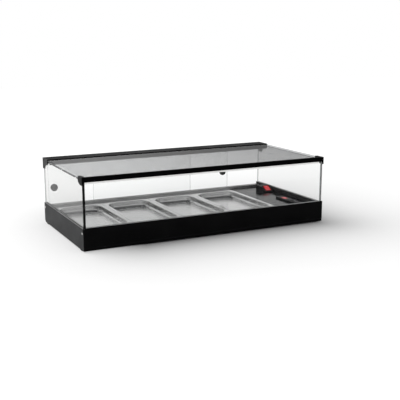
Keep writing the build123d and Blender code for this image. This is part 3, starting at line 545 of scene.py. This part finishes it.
def arcPoints(centre, radius, fromDegrees, toDegrees, steps=9):
    # Points on a circle, centre + radius * (cos, sin), between two angles.
    angle = np.radians(np.linspace(fromDegrees, toDegrees, steps))
    return np.stack([centre[0] + radius * np.cos(angle), centre[1] + radius * np.sin(angle)], -1)


def panSection():
    # The pan's sheet as (inset from the rim, height under its top), from the floor's top out over the wall,
    # the flange and the lip, and back underneath at one sheet's distance.
    sheet, lean = pan["sheet"], math.radians(pan["lean"])
    mouthAt = pan["flange"] + sheet
    mouthCentre = (mouthAt - pan["mouthRound"] * math.tan((math.pi / 2 - lean) / 2), -pan["mouthRound"])
    wallDrop = pan["depth"] - sheet - pan["floorRound"] * (1 - math.sin(lean))
    floorCentre = (mouthAt + wallDrop * math.tan(lean) + pan["floorRound"] * math.cos(lean),
                   -(pan["depth"] - sheet - pan["floorRound"]))
    lipCentre = (pan["lipRound"], -pan["lipRound"])

    def side(offset):
        # the whole line at this distance under the top face
        floor = arcPoints(floorCentre, pan["floorRound"] + offset, 270, 180 + pan["lean"])
        mouth = arcPoints(mouthCentre, pan["mouthRound"] - offset, pan["lean"], 90)
        lip = arcPoints(lipCentre, pan["lipRound"] - offset, 90, 180, 6)
        near = np.array([[floor[0, 0] + pan["floorStart"], floor[0, 1]]])
        wall = np.array([floor[-1] + (mouth[0] - floor[-1]) * share for share in pan["wallShares"]])
        flat = np.array([[mouth[-1, 0] - pan["foldGap"], -offset], [lip[0, 0] + pan["foldGap"], -offset]])
        end = np.array([[offset, -pan["lip"]]])
        return np.concatenate([near, floor, wall, mouth, flat, lip, end])

    return np.concatenate([side(0.0), side(sheet)[::-1]])


def roundedLoops(centre, half, inset, corner, height):
    # Rounded rectangles, one loop for each inset: the side stands in from the half width by the inset, and
    # the corner is a quarter circle of its own radius.
    quarter = np.linspace(0, math.pi / 2, pan["cornerSteps"])
    angle = np.concatenate([quarter + k * math.pi / 2 for k in range(4)])[None, :]
    signX = np.repeat([1, -1, -1, 1], len(quarter))[None, :]
    signY = np.repeat([1, 1, -1, -1], len(quarter))[None, :]
    inset, corner, height = inset[:, None], corner[:, None], height[:, None]
    x = centre[0] + signX * (half[0] - inset - corner) + corner * np.cos(angle)
    y = centre[1] + signY * (half[1] - inset - corner) + corner * np.sin(angle)
    return np.stack([x, y, height + 0 * x], -1)


def floorLoops(edge, centre, shares, rise):
    # Loops drawn in towards the centre by each share, rising as rise * (1 - share^2): a crowned floor.
    middle = np.array([centre[0], centre[1], edge[0, 2]])
    shares = np.array(shares)[:, None, None]
    loops = middle + (edge[None] - middle) * shares
    loops[..., 2] += rise * (1 - shares[..., 0] ** 2)
    return loops


def makePan(index):
    low, high = (np.array(corner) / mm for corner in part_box(f"pan_{index}"))
    centre, half = (low + high) / 2, (high - low) / 2
    line = panSection()
    bend = pan["lipRound"] + pan["sheet"]
    mouthStart = pan["flange"] - pan["mouthRound"] + pan["mouthEase"]
    mouthCorner = pan["mouthCorner"] + pan["flange"] - mouthStart
    reach = pan["cornerReach"]
    corner = np.interp(line[:, 0], [0, bend, mouthStart, mouthStart + reach],
                       [pan["rimCorner"], pan["rimCorner"] - bend, mouthCorner, mouthCorner - reach])
    walls = roundedLoops(centre, half, line[:, 0], corner, high[2] + line[:, 1])
    top = floorLoops(walls[0], centre, pan["floorShares"], pan["crown"])[::-1]
    under = floorLoops(walls[-1], centre, pan["floorShares"], pan["crown"])
    loops = np.concatenate([top, walls, under])
    makePiece(f"pan{index}Drawn", [skin(loops)], paint["pan"], f"pan_{index}", (f"pan_{index}",))


for index in (1, 2, 3, 4):
    makePan(index)
print("pans drawn")


# Door pulls: dished discs on both faces of the glass, with a step in the dish for the finger

pull = {
    "door": 2.0,
    "dish": [(2.2, 0.8), (2.7, 1.0), (3.2, 0.8), (5.0, 0.8), (5.5, 1.0), (6.0, 0.8), (7.2, 0.8), (7.9, 1.05),
             (8.2, 1.7), (8.35, 2.6), (8.6, 3.0), (9.1, 3.2), (11.5, 3.2), (12.2, 2.95), (12.5, 2.4),
             (12.5, 2.0)],
    "bore": 9.4,
    "steps": 64,
}


def makePull(side):
    low, high = (np.array(corner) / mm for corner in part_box(f"{side}_door_pull"))
    rear = [(radius, height, 0) for radius, height in pull["dish"]]
    front = [(radius, -height, 0) for radius, height in pull["dish"][::-1]]
    rings = rear + [(pull["bore"], pull["door"], 0), (pull["bore"], -pull["door"], 0)] + front
    disc = skin(turned(rings, "y", (low + high) / 2, steps=pull["steps"]))
    makePiece(f"{side}PullDished", [disc], paint["pull"], f"{side}_door",
              (f"{side}_door_pull",))


for side in ("left", "right"):
    makePull(side)
print("door pulls turned")


# Screws: domed heads with a hexagon socket, bright in the cheeks, dark in the caps and brackets

screw = {
    "head": [(0.97, 0.0, 0), (1.0, 0.16, 0), (0.94, 0.5, 0), (0.8, 0.8, 0), (0.62, 0.95, 0), (0.5, 1.0, 0),
             (0.46, 0.97, 6), (0.46, 0.35, 6), (0.3, 0.28, 6)],
    "steps": 36,
    "cheekRadius": 3.2,
    "cheekProud": 1.2,
    "cheekPlaces": [(-203.0, 57.0), (203.0, 57.0)],
    "darkRadius": 2.3,
    "darkProud": 0.9,
    "darkPlaces": [(204.0, 204.0), (204.0, 222.0), (172.0, 222.0), (-202.0, 222.0)],
    "panelRadius": 3.0,
    "panelProud": 1.4,
    "panelPlaces": [(-404.0, 22.0), (-404.0, 46.0), (-135.0, 46.0), (135.0, 46.0), (404.0, 22.0),
                    (404.0, 46.0)],
}


def screwHead(radius, proud, axis, centre, side):
    # A dome turned from a profile of shares of the radius and height, its socket a six-sided well.
    rings = [(radius * r, proud * h, sides) for r, h, sides in screw["head"]]
    return skin(turned(rings, axis, centre, side, screw["steps"]))


halfLength = cadBox[1][0] / mm - screw["cheekProud"]
makePiece("cheekScrewHeads",
          [screwHead(screw["cheekRadius"], screw["cheekProud"], "x", (side * halfLength, y, z), side)
           for side in (-1, 1) for y, z in screw["cheekPlaces"]],
          paint["screw"], "case", ("cheek_screws",))
makePiece("railScrewHeads",
          [screwHead(screw["darkRadius"], screw["darkProud"], "x", (side * halfLength, y, z), side)
           for side in (-1, 1) for y, z in screw["darkPlaces"]],
          paint["screwDark"], "case")
panelFace = 200.0  # the rear panel's outer face
makePiece("panelScrewHeads",
          [screwHead(screw["panelRadius"], screw["panelProud"], "y", (x, panelFace, z), 1)
           for x, z in screw["panelPlaces"]],
          paint["screw"], "case")
print("screws set")


# Cable gland: a six-sided body, a fluted dome nut and a bore for the cord

gland = {
    "rings": [(4.0, 13.3, 0), (4.5, 13.95, 0), (5.4, 14.0, 0), (7.0, 13.7, 0), (8.6, 12.9, 0), (9.3, 11.6, 0),
              (9.45, 10.8, -12), (9.45, 6.4, -12), (9.3, 5.7, 0), (8.9, 5.3, 0), (8.9, 5.0, 0),
              (10.5, 5.0, 6),
              (11.0, 4.5, 6), (11.0, 0.5, 6), (10.6, 0.0, 6), (7.8, 0.0, 0), (7.8, -9.3, 0), (7.2, -10.0, 0),
              (4.6, -10.0, 0), (4.0, -9.4, 0)],
    "flute": 0.07,
    "steps": 72,
}
glandLow, glandHigh = (np.array(corner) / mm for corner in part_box("cable_gland"))
glandMiddle = (glandLow + glandHigh) / 2
makePiece("glandFluted",
          [skin(turned(gland["rings"], "y", (glandMiddle[0], panelFace, glandMiddle[2]), steps=gland["steps"],
                       flute=gland["flute"]), ring=True)],
          paint["gland"], "case", ("cable_gland",))
print("gland turned")


# A soft black strip that closes the gap under the fascia: a sheet of painted shade where that gap lies in
# shadow

gapShade = {
    "from": -434.4,
    "to": 434.4,
    "section": [(-214.6, 15.0), (-214.9, 14.6), (-214.9, 4.0), (-214.5, 3.4), (-213.9, 3.4), (-213.6, 4.0),
                (-213.6, 15.0)],
}
makePiece("fasciaGapShade", [skin(swept(np.array(gapShade["section"]), "x", gapShade["from"], gapShade["to"]))],
          paint["fascia"], "case")

# Beads and gaskets of clear silicone round the panes

bead = {
    "fasciaTop": 75.0,
    "cheekTop": 72.0,
    "frontInner": -208.2,
    "frontOuter": -213.2,
    "frontHalf": 425.6,
    "sideInner": 427.2,
    "sideOuter": 432.2,
    "sideFrom": -207.4,
    "sideTo": 212.4,
    "reach": 1.7,
    "rise": 1.5,
    "outerReach": 1.2,
    "outerRise": 0.7,
}
frontRun = ("x", -bead["frontHalf"], bead["frontHalf"])
makePiece("frontGlassBeads",
          [skin(swept(quarterRound((bead["frontInner"], bead["fasciaTop"]), bead["reach"],
                                   bead["rise"]), *frontRun)),
           skin(swept(quarterRound((bead["frontOuter"], bead["fasciaTop"]), -bead["outerReach"],
                                   bead["outerRise"]), *frontRun))],
          paint["bead"], "case")
sideRun = ("y", bead["sideFrom"], bead["sideTo"])
makePiece("sideGlassBeads",
          [skin(swept(quarterRound((side * at, bead["cheekTop"]), side * reach, rise), *sideRun))
           for side in (-1, 1)
           for at, reach, rise in ((bead["sideInner"], -bead["reach"], bead["rise"]),
                                   (bead["sideOuter"], bead["outerReach"], bead["outerRise"]))],
          paint["bead"], "case")

gasket = {
    "inner": 427.0,
    "paneFace": 432.2,
    "outer": 432.35,
    "skin": 0.15,
    "shoulder": 0.4,
    "round": 0.3,
    "bottom": 218.2,
    "paneTop": 221.02,
    "top": 221.95,
    "stretches": [(-194.0, -154.0), (-141.6, -6.5), (6.5, 118.5), (131.5, 144.0)],
}


def gasketSection(side):
    # a thin strip folded over the pane's outer top edge: down the outer face, over the edge and back
    face = gasket["paneFace"]
    line = [(gasket["inner"], gasket["paneTop"]), (face, gasket["paneTop"]), (face, gasket["bottom"]),
            (face + gasket["skin"], gasket["bottom"]), (gasket["outer"], gasket["top"] - gasket["shoulder"]),
            (gasket["outer"] - gasket["round"], gasket["top"]),
            (gasket["inner"] + gasket["round"], gasket["top"])]
    return np.array([(side * x, z) for x, z in line])


# the left gasket takes the dark painted-shade silicone, the right one the clear
for side, name in ((-1, "Left"), (1, "Right")):
    makePiece(f"paneGasket{name}",
              [skin(swept(gasketSection(side), "y", low, high)) for low, high in gasket["stretches"]],
              paint[f"gasket{name}"], "case")
print("beads and gaskets laid")


# Display digits: two numerals of seven bars each, read from the rear

digits = {
    "shown": ["6", "5"],
    "width": 4.2,
    "height": 8.6,
    "bar": 0.95,
    "pitch": 6.4,
    "gap": 0.25,
    "proud": 0.15,
}
barsOf = {"6": "acdefg", "5": "acdfg"}
rearRight, rearUp = (-1, 0, 0), (0, -1, 0)  # right and up on the deck for someone who stands at the rear


def barOutline(middle, length, upright):
    # A bar with pointed ends: a long hexagon of the bar's thickness, lying or upright.
    half, thick = length / 2 - digits["gap"], digits["bar"] / 2
    outline = np.array([[-half, 0], [-half + thick, thick], [half - thick, thick], [half, 0],
                        [half - thick, -thick], [-half + thick, -thick]])
    return (outline[:, ::-1] if upright else outline) + np.array(middle)


def numeral(shown, offset):
    # The lit bars of one numeral: a, g, d lie across its top, middle and foot; f, b, e, c stand at its sides.
    width, half = digits["width"], digits["height"] / 2
    spots = {"a": (0, half, width, False), "g": (0, 0, width, False), "d": (0, -half, width, False),
             "f": (-width / 2, half / 2, half, True), "b": (width / 2, half / 2, half, True),
             "e": (-width / 2, -half / 2, half, True), "c": (width / 2, -half / 2, half, True)}
    return [barOutline((offset + x, y), length, upright)
            for bar, (x, y, length, upright) in spots.items() if bar in barsOf[shown]]


displayLow, displayHigh = (np.array(corner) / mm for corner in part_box("display"))
displayMiddle = (*((displayLow + displayHigh) / 2)[:2], displayHigh[2])
offsets = (-digits["pitch"] / 2, digits["pitch"] / 2)
makePiece("displayDigits",
          [skin(placed(outline, (0.0, digits["proud"]), displayMiddle, rearRight, rearUp))
           for shown, offset in zip(digits["shown"], offsets) for outline in numeral(shown, offset)],
          paint["digit"], "case")

# Marks printed on the buttons: a dot on the first, an arrow down and an arrow up on the others

mark = {"reach": 1.7, "base": 0.6, "tip": 0.9, "proud": 0.12, "dot": 1.3, "dotSteps": 20}
markOutlines = {
    "set": circlePoints(mark["dotSteps"]) * mark["dot"],
    "down": np.array([[-1, mark["base"]], [0, -mark["tip"]], [1, mark["base"]]]) * mark["reach"],
    "up": np.array([[-1, -mark["base"]], [1, -mark["base"]], [0, mark["tip"]]]) * mark["reach"],
}
for button, outline in markOutlines.items():
    low, high = (np.array(corner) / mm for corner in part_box(f"{button}_button"))
    spot = (*((low + high) / 2)[:2], high[2])
    makePiece(f"{button}Mark", [skin(placed(outline, (0.0, mark["proud"]), spot, rearRight, rearUp))],
              paint["print"], f"{button}_button")
print("display and buttons marked")


# Rocker marks: a bar and a ring on the two ends of each rocker, on its hollow face

rocker = {
    "tilt": 6.0,
    "pivotDepth": 2.0,
    "proud": 2.0,
    "dip": 1.0,
    "bevel": 0.6,
    "plate": 0.12,
    "sunk": 0.04,
    "bar": (0.45, 2.3),
    "ring": (1.6, 2.3),
    "ringSteps": 32,
}
rockers = {
    "main": {"origin": (399.5, 93.0, 67.5), "slope": math.degrees(math.atan2(15.0, 30.0)), "length": 26.0,
             "at": 7.6},
    "light": {"origin": (378.0, -135.5, 62.0), "slope": 0.0, "length": 22.0, "at": 6.6},
}


def rockerMarks(shape):
    # Marks on an arc: at a distance from the middle the face stands at its lowest height plus
    # distance^2 / (2 * radius), and leans by atan(distance / radius).
    tip = shape["length"] / 2 - rocker["bevel"]
    radius = (tip ** 2 + rocker["dip"] ** 2) / (2 * rocker["dip"])
    slope = math.radians(shape["slope"])
    upright = np.array([0, -math.sin(slope), math.cos(slope)])
    pivot = np.array(shape["origin"]) - rocker["pivotDepth"] * upright
    lowest = rocker["pivotDepth"] + rocker["proud"] - rocker["dip"]
    turn = slope + math.radians(rocker["tilt"])
    along = np.array([0, math.cos(turn), math.sin(turn)])
    out = np.array([0, -math.sin(turn), math.cos(turn)])
    shells = []
    for at in (-shape["at"], shape["at"]):
        lean = turn + math.atan2(at, radius)
        spot = pivot + along * at + out * (lowest + at ** 2 / (2 * radius) - rocker["sunk"])
        up = (0, math.cos(lean), math.sin(lean))
        if at < 0:
            wide, tall = rocker["bar"]
            outline = np.array([[-wide, -tall], [wide, -tall], [wide, tall], [-wide, tall]])
            shells.append(skin(placed(outline, (0.0, rocker["plate"]), spot, (1, 0, 0), up)))
        else:
            circle = circlePoints(rocker["ringSteps"])
            inner, outer = rocker["ring"]
            top = rocker["plate"]
            loops = [placed(circle * r, (h,), spot, (1, 0, 0), up)[0]
                     for r, h in ((inner, 0.0), (outer, 0.0), (outer, top), (inner, top))]
            shells.append(skin(np.stack(loops), ring=True))
    return shells


for side, shape in rockers.items():
    makePiece(f"{side}RockerMarks", rockerMarks(shape), paint["print"], f"{side}_rocker")
print("rockers marked")


# Floor, lights and camera

studio = {
    "floorSize": 14.0,
    "floorColour": (0.52, 0.52, 0.52, 1),
    "lift": 0.61,
    "liftReach": 0.16,
    "liftFar": 0.16,
    "liftFarFrom": 0.35,
    "liftFarTo": 1.6,
    # inside this box, and for a reach round it, the floor's glow is cut: painted shade under and round the
    # case
    "footprint": (0.32, 0.21, 0.0),
    "footprintMiddle": (0.09, -0.005, 0.0),
    "skyLight": 0.55,
    "keyPower": 26.0,
    "keyPlace": (-1.3, 0.9, 2.1),
    "keySize": 1.8,
    "fillPower": 8.0,
    "fillPlace": (-0.9, -2.4, 1.5),
    "fillSize": 1.6,
    "lampTarget": (0, 0, 0.12),
}


def looksLike(material, outputs):
    # 1 for a ray that shows the surface: from the camera, by a mirror or through glass
    seen = outputs["Is Camera Ray"]
    for name in ("Is Glossy Ray", "Is Transmission Ray"):
        seen = addNode(material, "ShaderNodeMath", {"operation": "MAXIMUM"},
                       {0: seen, 1: outputs[name]}).outputs[0]
    return seen


def makeFloor():
    # a flat square at height 0: plain diffuse grey, with a glow for the rays that show it. The glow is
    # lift * (1 - exp(-distance past the footprint / reach)): it fades to nothing towards and under the case,
    # painted shade round the case on top of its cast shadow, and the footprint is set off to the right, so
    # that painted shade is lighter on the left. A little more glow far away, where the lamps fade
    half = studio["floorSize"] / 2
    corners = [(-half, -half, 0), (half, -half, 0), (half, half, 0), (-half, half, 0)]
    mesh = bpy.data.meshes.new("floor")
    mesh.from_pydata(corners, [], [(0, 1, 2, 3)])
    material = bpy.data.materials.new("floorPale")
    material.use_nodes = True
    material.node_tree.nodes.clear()
    out = addNode(material, "ShaderNodeOutputMaterial")
    base = addNode(material, "ShaderNodeBsdfDiffuse", {}, {"Color": studio["floorColour"]})
    coords = addNode(material, "ShaderNodeTexCoord")
    beside = addNode(material, "ShaderNodeVectorMath", {"operation": "SUBTRACT"},
                     {0: coords.outputs["Object"], 1: studio["footprintMiddle"]})
    spot = addNode(material, "ShaderNodeVectorMath", {"operation": "ABSOLUTE"}, {0: beside.outputs[0]})
    past = addNode(material, "ShaderNodeVectorMath", {"operation": "SUBTRACT"},
                   {0: spot.outputs[0], 1: studio["footprint"]})
    kept = addNode(material, "ShaderNodeVectorMath", {"operation": "MAXIMUM"},
                   {0: past.outputs[0], 1: (0, 0, 0)})
    away = addNode(material, "ShaderNodeVectorMath", {"operation": "LENGTH"}, {0: kept.outputs[0]})
    fall = addNode(material, "ShaderNodeMath", {"operation": "MULTIPLY"},
                   {0: away.outputs["Value"], 1: -1 / studio["liftReach"]})
    left = addNode(material, "ShaderNodeMath", {"operation": "EXPONENT"}, {0: fall.outputs[0]})
    lift = addNode(material, "ShaderNodeMath", {"operation": "MULTIPLY_ADD"},
                   {0: left.outputs[0], 1: -studio["lift"], 2: studio["lift"]})
    far = ramp(material, away.outputs["Value"], 0.0, studio["liftFar"], studio["liftFarFrom"],
               studio["liftFarTo"])
    whole = addNode(material, "ShaderNodeMath", {"operation": "ADD"}, {0: lift.outputs[0], 1: far})
    rays = addNode(material, "ShaderNodeLightPath")
    strength = addNode(material, "ShaderNodeMath", {"operation": "MULTIPLY"},
                       {0: looksLike(material, rays.outputs), 1: whole.outputs[0]})
    glow = addNode(material, "ShaderNodeEmission", {}, {"Strength": strength.outputs[0]})
    both = addNode(material, "ShaderNodeAddShader", {}, {0: base.outputs[0], 1: glow.outputs[0]})
    link(material, both.outputs[0], out.inputs["Surface"])
    mesh.materials.append(material)
    floor = bpy.data.objects.new("floor", mesh)
    bpy.context.scene.collection.objects.link(floor)


def makeSky():
    # white where the camera, a mirror or glass looks at it, and a soft plain light on everything else
    world = bpy.data.worlds.new("studioSky")
    bpy.context.scene.world = world
    world.use_nodes = True
    world.node_tree.nodes.clear()
    out = addNode(world, "ShaderNodeOutputWorld")
    rays = addNode(world, "ShaderNodeLightPath")
    level = addNode(world, "ShaderNodeMapRange", {},
                    {"Value": looksLike(world, rays.outputs), "To Min": studio["skyLight"]})
    sky = addNode(world, "ShaderNodeBackground", {},
                  {"Strength": level.outputs["Result"], "Color": (1, 1, 1, 1)})
    link(world, sky.outputs[0], out.inputs["Surface"])


def softLamp(name, place, size, power):
    # a square lamp whose own -Z looks at the middle of the case
    lamp = bpy.data.lights.new(name, "AREA")
    lamp.shape = "SQUARE"
    lamp.size = size
    lamp.energy = power
    holder = bpy.data.objects.new(name, lamp)
    holder.visible_glossy = False  # mirrors show the plain white room, not the lamp's outline
    bpy.context.scene.collection.objects.link(holder)
    direction = [t - p for t, p in zip(studio["lampTarget"], place)]
    pitch = math.atan2(direction[2], math.hypot(direction[0], direction[1]))
    holder.location = place
    holder.rotation_euler = (math.pi / 2 + pitch, 0, -math.atan2(direction[0], direction[1]))


makeFloor()
makeSky()
softLamp("keyLamp", studio["keyPlace"], studio["keySize"], studio["keyPower"])
softLamp("fillLamp", studio["fillPlace"], studio["fillSize"], studio["fillPower"])

view = {"place": (-1.106, -2.320, 0.639), "turn": 26.77, "down": 12.3, "lens": 67.8, "sensor": 36.0}
cameraData = bpy.data.cameras.new("camera")
cameraData.lens = view["lens"]
cameraData.sensor_width = view["sensor"]
camera = bpy.data.objects.new("camera", cameraData)
camera.location = view["place"]
camera.rotation_euler = (math.radians(90 - view["down"]), 0, -math.radians(view["turn"]))
bpy.context.scene.collection.objects.link(camera)
bpy.context.scene.camera = camera
bpy.context.scene.view_settings.view_transform = "Standard"
print("studio ready")
